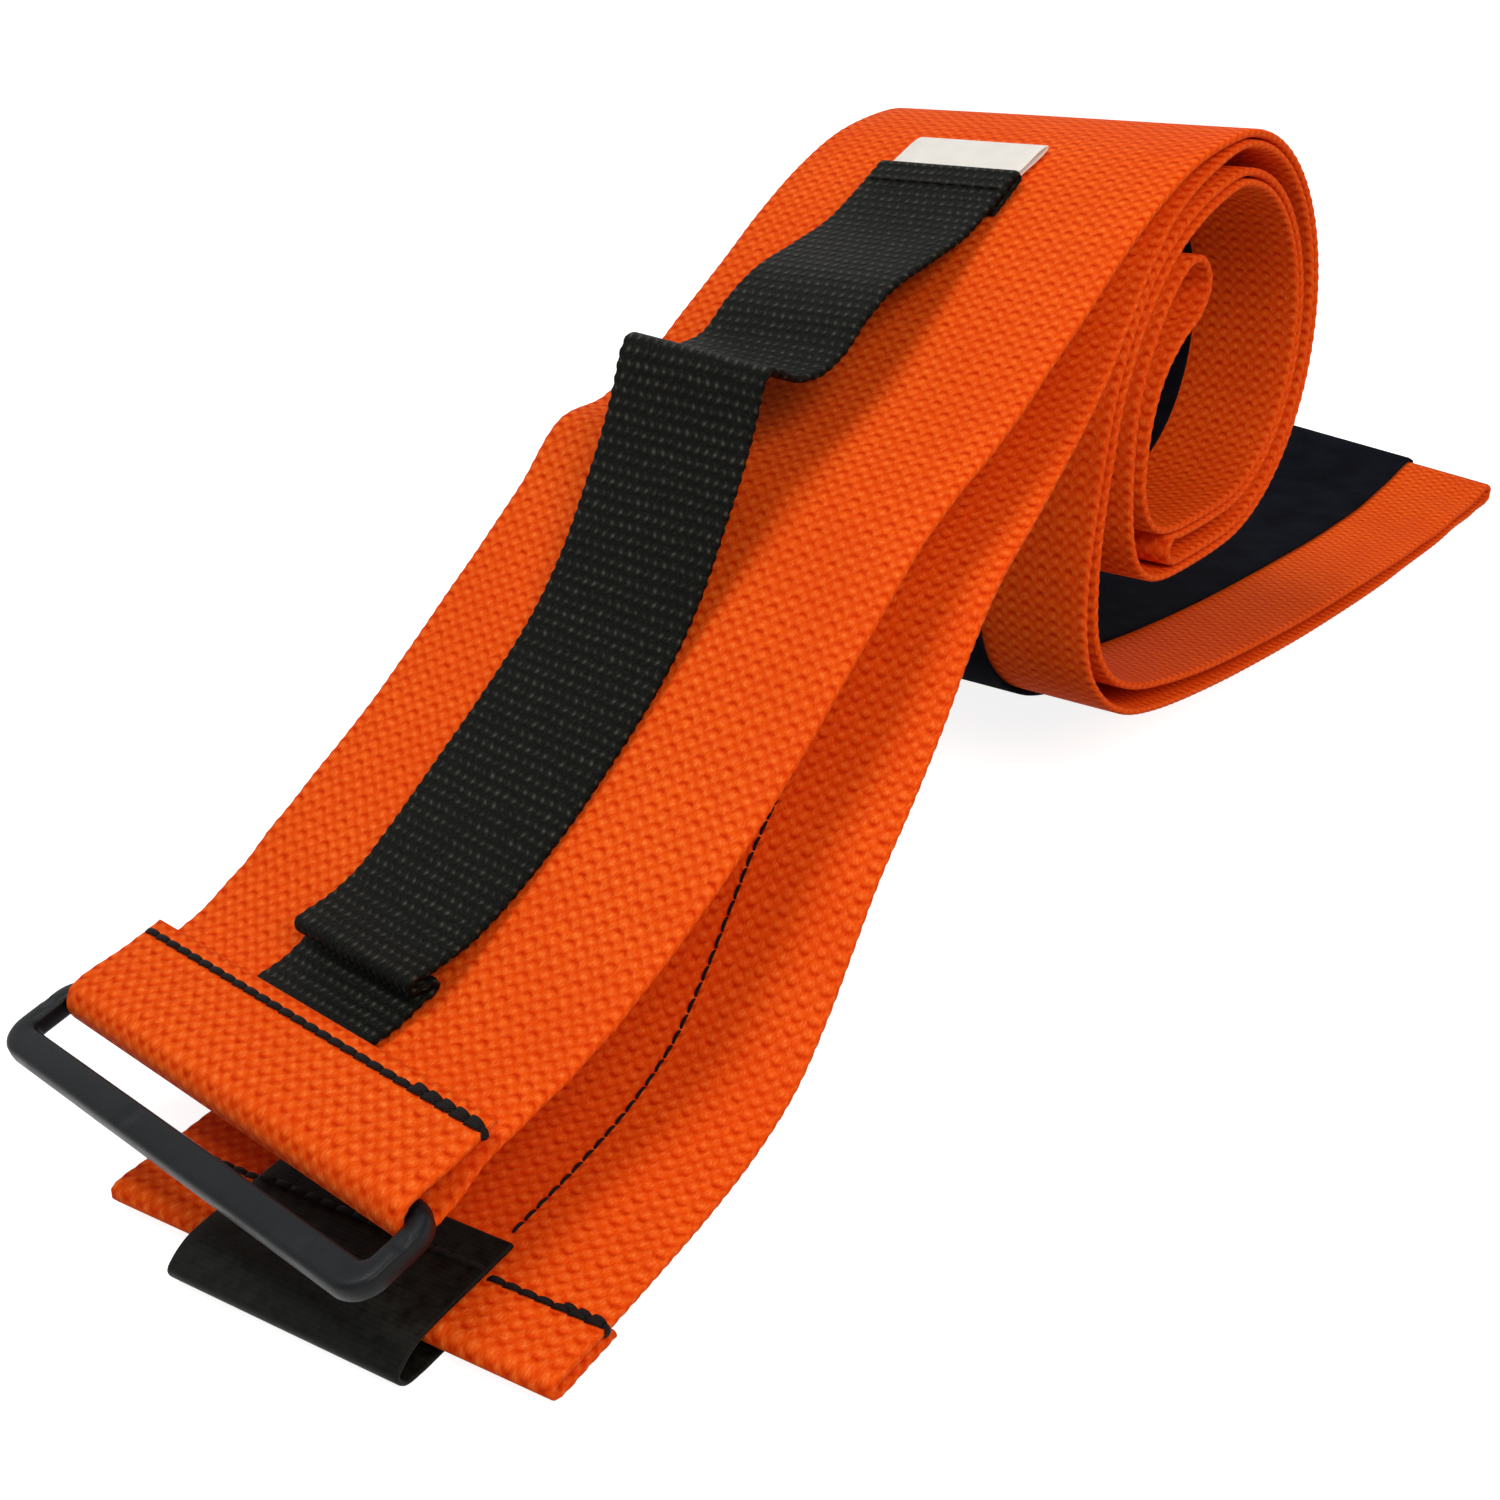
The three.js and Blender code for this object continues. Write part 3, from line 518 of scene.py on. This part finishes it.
def ring_mesh():
    """The ring as a bar swept round its slot. The bar is round at the rear and squarer elsewhere."""
    inner_half = STRAP_WIDTH / 2 + RING_SIDE_CLEARANCE
    outer_half = inner_half + RING_SIDE
    straight = (14, 160, 14, 160)
    outer = rounded_outline(-RING_SLOT - RING_FRONT_WIDTH, RING_BAR / 2, outer_half, 6.0, straight)
    inner = rounded_outline(-RING_SLOT, -RING_BAR / 2, inner_half, 1.6, straight)
    count = 20
    vertices, faces = [], []
    rear = np.clip((outer[:, 0] + 2.4) / 3.6, 0, 1) * (np.abs(outer[:, 1]) < outer_half - 2.5)
    for (o, i), round_bar in zip(zip(outer, inner), rear):
        power = 2 / (4.2 - 2.2 * round_bar)  # from a nearly square section to a round one
        for f in np.linspace(0, 2 * math.pi, count, endpoint=False):
            c, s = math.cos(f), math.sin(f)
            t = 0.5 + 0.5 * math.copysign(abs(c) ** power, c)
            p = i + (o - i) * t
            z = RING_THICKNESS / 2 * math.copysign(abs(s) ** power, s)
            for mark_x, mark_y, radius in EJECTOR_MARKS:
                reach = math.hypot(p[0] - mark_x, p[1] - mark_y) / radius
                if s > 0 and reach < 1:
                    z -= 0.3 * (1 - reach ** 6)
            vertices.append((p[0], p[1], z))
    n = len(outer)
    for a in range(n):
        b = (a + 1) % n
        for j in range(count):
            k = (j + 1) % count
            faces.append([a * count + j, b * count + j, b * count + k, a * count + k])
    skew = Matrix.Rotation(math.radians(HEM_SKEW_DEGREES), 4, "Z")
    turn = skew @ Matrix.Rotation(-math.radians(RING_TILT), 4, "Y")
    turned = [turn @ Vector(v) + Vector((BAR_X, HEM_Y, BAR_Z)) for v in vertices]
    return mesh_object("ring_moulding", to_row(turned), faces)


ring_piece = ring_mesh()


# ---- Materials ----
class Nodes:
    """A small builder for a tree of shader nodes."""

    def __init__(self, tree):
        self.tree = tree

    def node(self, kind, inputs=(), **settings):
        node = self.tree.nodes.new(kind)
        for key, value in settings.items():
            setattr(node, key, value)
        for key, value in dict(inputs).items():
            self.put(node.inputs[key], value)
        return node

    def put(self, socket, value):
        """Links a node's output to an input, or sets the input to a number or a colour."""
        if isinstance(value, bpy.types.NodeSocket):
            self.tree.links.new(value, socket)
        elif hasattr(value, "__len__") and len(value) == 3 and socket.type == "RGBA":
            socket.default_value = (*value, 1)
        else:
            socket.default_value = value

    def math(self, operation, *values):
        return self.node("ShaderNodeMath", enumerate(values), operation=operation).outputs[0]

    def mix(self, factor, low, high):
        node = self.node("ShaderNodeMix", data_type="RGBA")
        sockets = {s.identifier: s for s in node.inputs}
        for key, value in (("Factor_Float", factor), ("A_Color", low), ("B_Color", high)):
            self.put(sockets[key], value)
        return {s.identifier: s for s in node.outputs}["Result_Color"]

    def ramp(self, value, low, high, to_low=0.0, to_high=1.0):
        limits = {"From Min": low, "From Max": high, "To Min": to_low, "To Max": to_high}
        return self.node("ShaderNodeMapRange", {"Value": value, **limits}, clamp=True).outputs[0]

    def noise(self, vector, scale, detail=2.0, roughness=0.5):
        grain = {"Scale": scale, "Detail": detail, "Roughness": roughness}
        return self.node("ShaderNodeTexNoise", {"Vector": vector, **grain}).outputs["Fac"]

    def wave(self, value, length):
        """A sine wave from -1 to 1."""
        return self.math("SINE", self.math("MULTIPLY", value, 2 * math.pi / length))

    def from_edge(self, place):
        """How far a place from -1 to 1 in a cell is from the nearer edge of the cell."""
        return self.math("SUBTRACT", 1.0, self.math("ABSOLUTE", place))

    def parts(self, vector):
        return self.node("ShaderNodeSeparateXYZ", {0: vector}).outputs

    def seen_directly(self):
        """1 where the camera, a mirror image or clear glass shows the surface, and 0 for other light."""
        ray = self.node("ShaderNodeLightPath").outputs
        seen = self.math("MAXIMUM", ray["Is Camera Ray"], ray["Is Glossy Ray"])
        return self.math("MAXIMUM", seen, ray["Is Transmission Ray"])


class Shader(Nodes):
    """A procedural material."""

    def __init__(self, name):
        self.material = bpy.data.materials.new(name)
        self.material.use_nodes = True
        super().__init__(self.material.node_tree)
        self.surface = self.tree.nodes["Principled BSDF"]

    def coat(self, inputs):
        """Sets inputs of the surface, each to a constant or to a node's output."""
        for key, value in inputs.items():
            self.put(self.surface.inputs[key], value)

    def bump(self, height, distance):
        bump = self.node("ShaderNodeBump", {"Height": height, "Distance": distance})
        self.coat({"Normal": bump.outputs[0]})

    def weave_uv(self):
        """The weave coordinates of a webbing: millimetres round its section and along its length."""
        return self.node("ShaderNodeUVMap", uv_map="weave").outputs[0]


def srgb(*values):
    """Linear colour from 0 to 255 display values."""
    return tuple((v / 255 / 12.92) if v <= 10 else ((v / 255 + 0.055) / 1.055) ** 2.4 for v in values)


# Weave cells are counted from a number high enough to keep every count above zero
FIRST_CELL = 100.0


def weave_cells(shader, width, pick, stagger=0.0, wobble=0.03):
    """Weave coordinates. Each cell is width across and pick long, in millimetres, and every other row
    is shifted sideways by stagger cells. Wobble scales how far the yarns stray.
    Returns the vector itself, the place in the cell from -1 to 1 both ways, 0 or 1 for alternate rows
    and for alternate cells, and a random value for each cell."""
    uv = shader.weave_uv()
    place = shader.parts(uv)
    u = shader.math("MULTIPLY_ADD", place[0], 1 / width, FIRST_CELL)
    v = shader.math("MULTIPLY_ADD", place[1], 1 / pick, FIRST_CELL)
    # a slow drift of the yarns, and a quick small stray
    for scale, reach in ((0.12, 10), (0.9, 5)):
        stray = shader.node("ShaderNodeTexNoise", {"Vector": uv, "Scale": scale, "Detail": 1.0})
        split = shader.node("ShaderNodeSeparateColor", {0: stray.outputs["Color"]})
        u = shader.math("MULTIPLY_ADD", split.outputs[0], wobble * reach, u)
        v = shader.math("MULTIPLY_ADD", split.outputs[1], wobble * reach, v)
    row = shader.math("FLOOR", v)
    odd = shader.math("FLOORED_MODULO", row, 2.0)
    u = shader.math("MULTIPLY_ADD", odd, stagger, u)
    column = shader.math("FLOOR", u)
    parity = shader.math("FLOORED_MODULO", shader.math("ADD", column, row), 2.0)
    x = shader.math("MULTIPLY_ADD", shader.math("FRACT", u), 2.0, -1.0)
    y = shader.math("MULTIPLY_ADD", shader.math("FRACT", v), 2.0, -1.0)
    cell = shader.node("ShaderNodeCombineXYZ", {0: column, 1: row}).outputs[0]
    tint = shader.node("ShaderNodeTexWhiteNoise", {"Vector": cell}, noise_dimensions="2D").outputs["Value"]
    return uv, x, y, odd, parity, tint


def oval(shader, x, y, wide, long, strength=1.0, lean=0.0):
    """A soft spot at the middle of a cell, leaning along the cell."""
    x = shader.math("MULTIPLY_ADD", y, lean, x)
    reach = shader.math("ADD", *(
        shader.math("POWER", shader.math("ABSOLUTE", shader.math("DIVIDE", place, size)), 2.0)
        for place, size in ((x, wide), (y, long))))
    return shader.math("MULTIPLY", shader.math("EXPONENT", shader.math("MULTIPLY", reach, -1.0)), strength)


def yarn_fibre(shader, uv, across, along):
    """Fine filaments that run along the yarns."""
    stretched = shader.node("ShaderNodeMapping", {"Vector": uv, "Scale": (across, along, 1.0)}).outputs[0]
    return shader.noise(stretched, 1.0, 4.0, 0.65)


def strap_material():
    """Heavy webbing: rounded floats in rows, with a deep notch where the yarns turn under."""
    m = Shader("strap_webbing")
    uv, x, y, _, parity, tint = weave_cells(m, STRAP_CELL, STRAP_PICK)
    lean = m.math("MULTIPLY_ADD", parity, 0.3, -0.15)
    arch = m.math("MULTIPLY_ADD", m.math("MULTIPLY", x, x), 0.7, y)
    depth = m.math("MULTIPLY_ADD", parity, 0.15, m.math("MULTIPLY_ADD", tint, 0.35, 0.45))
    notch = oval(m, x, arch, 0.74, 0.32, depth, lean)
    edge_x, edge_y = m.from_edge(x), m.from_edge(y)
    crown = m.math("MAXIMUM", oval(m, x, edge_y, 0.5, 0.5, 0.85), oval(m, edge_x, y, 0.4, 0.6, 0.7))
    seam = m.math("POWER", m.math("DIVIDE", edge_x, 0.14), 2.0)
    seam = m.math("EXPONENT", m.math("MULTIPLY", seam, -1.0))
    fibre = yarn_fibre(m, uv, 2.6, 1.1)
    height = m.math("MULTIPLY_ADD", notch, -0.8, 1.0)
    height = m.math("MULTIPLY_ADD", seam, -0.12, height)
    height = m.math("MULTIPLY_ADD", crown, 0.35, height)
    height = m.math("MULTIPLY_ADD", fibre, 0.45, height)
    # Painted shade: the colour darkens towards a deep red in the notches and seams and between the raised
    # floats, standing for the shade there; the fibre noise also varies the tone along the yarns.
    shade = m.math("MULTIPLY_ADD", seam, 0.12, m.math("MULTIPLY", notch, 0.8))
    shade = m.math("MULTIPLY_ADD", crown, -0.22, m.math("ADD", shade, 0.2))
    shade = m.math("MULTIPLY_ADD", m.math("SUBTRACT", fibre, 0.52), -1.3, shade)
    lit = m.mix(tint, srgb(238, 80, 5), srgb(248, 92, 10))
    # Painted highlight: the crowns of the floats are mixed towards a pale orange, brighter where the fibres
    # run, standing for light caught on them.
    shine = m.math("MULTIPLY", crown, m.ramp(fibre, 0.42, 0.6, 0.4, 1.2))
    lit = m.mix(shine, lit, srgb(255, 128, 54))
    patch = m.ramp(m.noise(uv, 0.03, 2.0), 0.35, 0.65)
    lit = m.mix(m.math("MULTIPLY", patch, 0.25), lit, srgb(230, 72, 8))
    shade = m.math("MAXIMUM", m.math("MINIMUM", shade, 1.0), 0.0)
    # The lit orange is mixed here with the painted shade colour.
    m.coat({"Base Color": m.mix(shade, lit, srgb(200, 40, 0)),
            "Roughness": m.ramp(fibre, 0.3, 0.7, 0.5, 0.75), "Specular IOR Level": 0.03})
    m.bump(height, 0.2 * MM)
    return m.material


def handle_material():
    """Black polypropylene webbing: rows of small raised floats that lean one way and then the other."""
    m = Shader("handle_webbing")
    uv, x, y, odd, _, tint = weave_cells(m, HANDLE_CELL, HANDLE_PICK, stagger=0.5)
    lean = m.math("MULTIPLY_ADD", odd, 0.5, -0.25)
    lump = oval(m, x, y, 0.5, 0.52, 1.0, lean)
    lump = m.math("MAXIMUM", lump, oval(m, m.from_edge(x), y, 0.4, 0.45, 0.3))
    fibre = yarn_fibre(m, uv, 5.0, 1.2)
    # Painted highlight: the raised floats and fine random specks are mixed from near black towards a pale
    # grey, standing for light caught on the black yarn.
    float_highlight = m.math("MULTIPLY", m.math("POWER", lump, 1.7), m.math("MULTIPLY_ADD", tint, 0.8, 0.4))
    float_highlight = m.math("MULTIPLY", float_highlight, m.ramp(fibre, 0.3, 0.6, 0.3, 0.8))
    glint_speck = m.ramp(m.noise(uv, 1.5, 2.0, 0.7), 0.54, 0.7, 0.0, 0.4)
    float_highlight = m.math("MAXIMUM", float_highlight, m.math("MULTIPLY", glint_speck, m.math("MULTIPLY_ADD", lump, 0.6, 0.4)))
    m.coat({"Base Color": m.mix(float_highlight, srgb(4, 5, 3), srgb(88, 88, 80)),
            "Roughness": m.ramp(fibre, 0.3, 0.7, 0.4, 0.6), "Specular IOR Level": 0.05})
    m.bump(m.math("MULTIPLY_ADD", fibre, 0.3, lump), 0.7 * MM)
    return m.material


def pile_material():
    """Loop pile: matt, with a soft nap that is brushed in patches."""
    m = Shader("loop_pile")
    uv = m.weave_uv()
    fine, nap = m.noise(uv, 2.2, 4.0, 0.75), m.noise(uv, 0.09, 3.0, 0.6)
    brushed = m.ramp(m.math("MULTIPLY_ADD", nap, 0.6, m.math("MULTIPLY", fine, 0.4)), 0.35, 0.65)
    m.coat({"Base Color": m.mix(brushed, srgb(9, 10, 16), srgb(24, 27, 36)),
            "Roughness": 0.95, "Specular IOR Level": 0.03})
    m.bump(m.math("MULTIPLY_ADD", nap, 0.6, fine), 0.5 * MM)
    return m.material


def hook_material():
    """Hook tape: close rows of tiny stiff hooks."""
    m = Shader("hook_tape")
    _, x, y, _, parity, tint = weave_cells(m, HOOK_CELL, HOOK_PICK, wobble=0.01)
    lump = oval(m, x, y, 0.45, 0.45, m.math("MULTIPLY_ADD", tint, 0.4, 0.6))
    m.coat({"Base Color": m.mix(lump, srgb(12, 12, 14), srgb(46, 46, 50)),
            "Roughness": 0.5, "Specular IOR Level": 0.2})
    m.bump(m.math("MULTIPLY_ADD", parity, 0.1, lump), 0.4 * MM)
    return m.material


def tab_material():
    """Grosgrain tape: fine ribs across its length."""
    m = Shader("tab_tape")
    uv = m.weave_uv()
    place = m.parts(uv)
    rib = m.math("MULTIPLY_ADD", m.wave(place[1], TAB_RIB), 0.5, 0.5)
    yarn = m.math("MULTIPLY_ADD", m.wave(place[0], TAB_YARN), 0.5, 0.5)
    worn = m.noise(uv, 0.35, 4.0, 0.65)
    height = m.math("MULTIPLY_ADD", yarn, 0.3, rib)
    pale = m.ramp(m.math("MULTIPLY_ADD", height, 0.08, worn), 0.4, 0.8)
    m.coat({"Base Color": m.mix(pale, srgb(6, 7, 5), srgb(30, 31, 27)),
            "Roughness": m.ramp(worn, 0.3, 0.7, 0.38, 0.6), "Specular IOR Level": 0.08})
    m.bump(m.math("MULTIPLY_ADD", worn, 3.0, height), 0.02 * MM)
    return m.material


def label_material():
    """Blank satin label tape."""
    m = Shader("label_tape")
    uv = m.weave_uv()
    place = m.parts(uv)
    thread = m.wave(place[1], LABEL_THREAD)
    soft = m.noise(uv, 0.2, 3.0)
    m.coat({"Base Color": m.mix(m.ramp(soft, 0.35, 0.65), srgb(234, 231, 224), srgb(239, 237, 231)),
            "Roughness": 0.45})
    m.bump(m.math("MULTIPLY_ADD", thread, 0.5, soft), 0.05 * MM)
    return m.material


def ring_material():
    """Moulded acetal: near black with a blue cast, a fine spark texture and faint handling marks."""
    m = Shader("ring_plastic")
    place = m.node("ShaderNodeTexCoord").outputs["Object"]
    grain, wear = m.noise(place, 2600.0, 3.0, 0.6), m.noise(place, 90.0, 4.0, 0.6)
    m.coat({"Base Color": m.mix(m.ramp(wear, 0.4, 0.7), srgb(6, 9, 12), srgb(15, 19, 23)),
            "Roughness": m.ramp(wear, 0.35, 0.7, 0.34, 0.5), "Specular IOR Level": 0.16})
    m.bump(m.math("MULTIPLY_ADD", wear, 0.6, grain), 0.06 * MM)
    return m.material


def thread_material():
    """Bonded black thread with its twist."""
    m = Shader("thread")
    place = m.node("ShaderNodeTexCoord").outputs["Object"]
    wave = m.node("ShaderNodeTexWave", {"Vector": place, "Scale": 900.0, "Distortion": 1.5},
                  bands_direction="DIAGONAL").outputs["Fac"]
    m.coat({"Base Color": m.mix(wave, srgb(10, 8, 8), srgb(32, 26, 26)),
            "Roughness": 0.6, "Specular IOR Level": 0.1})
    m.bump(wave, 0.15 * MM)
    return m.material


THREAD = thread_material()
PIECES = [
    # piece, material, record slot, body, CAD nodes that it stands for
    (strap_piece, strap_material(), "strap_webbing", "strap", "main_strap"),
    (loop_piece, pile_material(), "loop_pile", "strap", "loop_tape"),
    (hook_piece, hook_material(), "hook_tape", "strap", "hook_tape"),
    (handle_piece, handle_material(), "handle_webbing", "strap", "handle_strap"),
    (tab_piece, tab_material(), "tab_tape", "strap", "pull_tab"),
    (label_piece, label_material(), "label_tape", "label", "label"),
    (ring_piece, ring_material(), "ring_plastic", "ring", "ring"),
    (ring_hem_piece, THREAD, "thread", "strap", "ring_hem_thread"),
    (tab_hem_piece, THREAD, "thread", "strap", "tab_hem_thread"),
    (handle_end_piece, THREAD, "thread", "strap", "handle_end_thread"),
    (seam_pieces["near"], THREAD, "thread", "strap", "tape_thread_near"),
    (seam_pieces["far"], THREAD, "thread", "strap", "tape_thread_far"),
]
for piece, material, slot, body, node in PIECES:
    piece.data.materials.append(material)
    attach(piece, body)
    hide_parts(node)


# ---- Floor, light and camera ----
FLOOR_SIZE, FLOOR_ALBEDO, FLOOR_GLOW, SKY_LIGHT = 40, 0.55, 0.87, 0.22
WHITE = (1, 1, 1)


def floor_material():
    """Pale paper that keeps shadows and reads as white behind the object."""
    m = Shader("floor_paper")
    glow = m.math("MULTIPLY", m.seen_directly(), FLOOR_GLOW)
    m.coat({"Base Color": (FLOOR_ALBEDO,) * 3, "Roughness": 0.9, "Specular IOR Level": 0.1,
            "Emission Color": WHITE, "Emission Strength": glow})
    return m.material


bpy.ops.mesh.primitive_plane_add(size=FLOOR_SIZE, location=(0, 0, 0))
floor = bpy.context.object
floor.name = "floor"
floor.data.materials.append(floor_material())

world = bpy.data.worlds.new("studio")
bpy.context.scene.world = world
world.use_nodes = True
sky = Nodes(world.node_tree)
backdrop = sky.tree.nodes["Background"]
sky.put(backdrop.inputs["Color"], WHITE)
sky.put(backdrop.inputs["Strength"], sky.ramp(sky.seen_directly(), 0.0, 1.0, SKY_LIGHT, 1.0))

# The object's middle, and the camera's place, directions and lens
CENTRE = Vector((0.0, 0.0, 0.07))
CAMERA_AT = Vector(to_row((-137.2, -247.9, 221.3)))
LOOK = Vector((0.6789, 0.5839, -0.4451)).normalized()
UP = Vector((0.3755, 0.2448, 0.8939)).normalized()
RIGHT = LOOK.cross(UP).normalized()
SENSOR_WIDTH, FOCAL_LENGTH = 36.0, 45.6
NEAREST, FARTHEST = 0.01, 50


def softbox(name, offset, size, power, colour):
    """A square area light at an offset from the object's middle, turned to face it."""
    light = bpy.data.lights.new(name, "AREA")
    light.shape, light.size, light.energy, light.color = "SQUARE", size, power, colour
    thing = bpy.data.objects.new(name, light)
    thing.location = CENTRE + offset
    thing.rotation_euler = offset.to_track_quat("Z", "Y").to_euler()
    bpy.context.scene.collection.objects.link(thing)


softbox("key", -RIGHT * 0.5 + Vector((0, 0, 1.25)) - LOOK * 0.25,
        size=0.6, power=9.8, colour=(0.97, 1.0, 0.99))
softbox("fill", RIGHT * 0.5 + Vector((0, 0, 0.4)) - LOOK * 1.05,
        size=0.8, power=10.5, colour=(1.0, 0.86, 0.78))

lens = bpy.data.cameras.new("front_view")
lens.sensor_width, lens.lens = SENSOR_WIDTH, FOCAL_LENGTH
lens.clip_start, lens.clip_end = NEAREST, FARTHEST
camera = bpy.data.objects.new("front_view", lens)
bpy.context.scene.collection.objects.link(camera)
camera.matrix_world = Matrix.Translation(CAMERA_AT) @ Matrix(
    (RIGHT, RIGHT.cross(LOOK), -LOOK)).transposed().to_4x4()
bpy.context.scene.camera = camera
bpy.context.scene.view_settings.view_transform = "Standard"
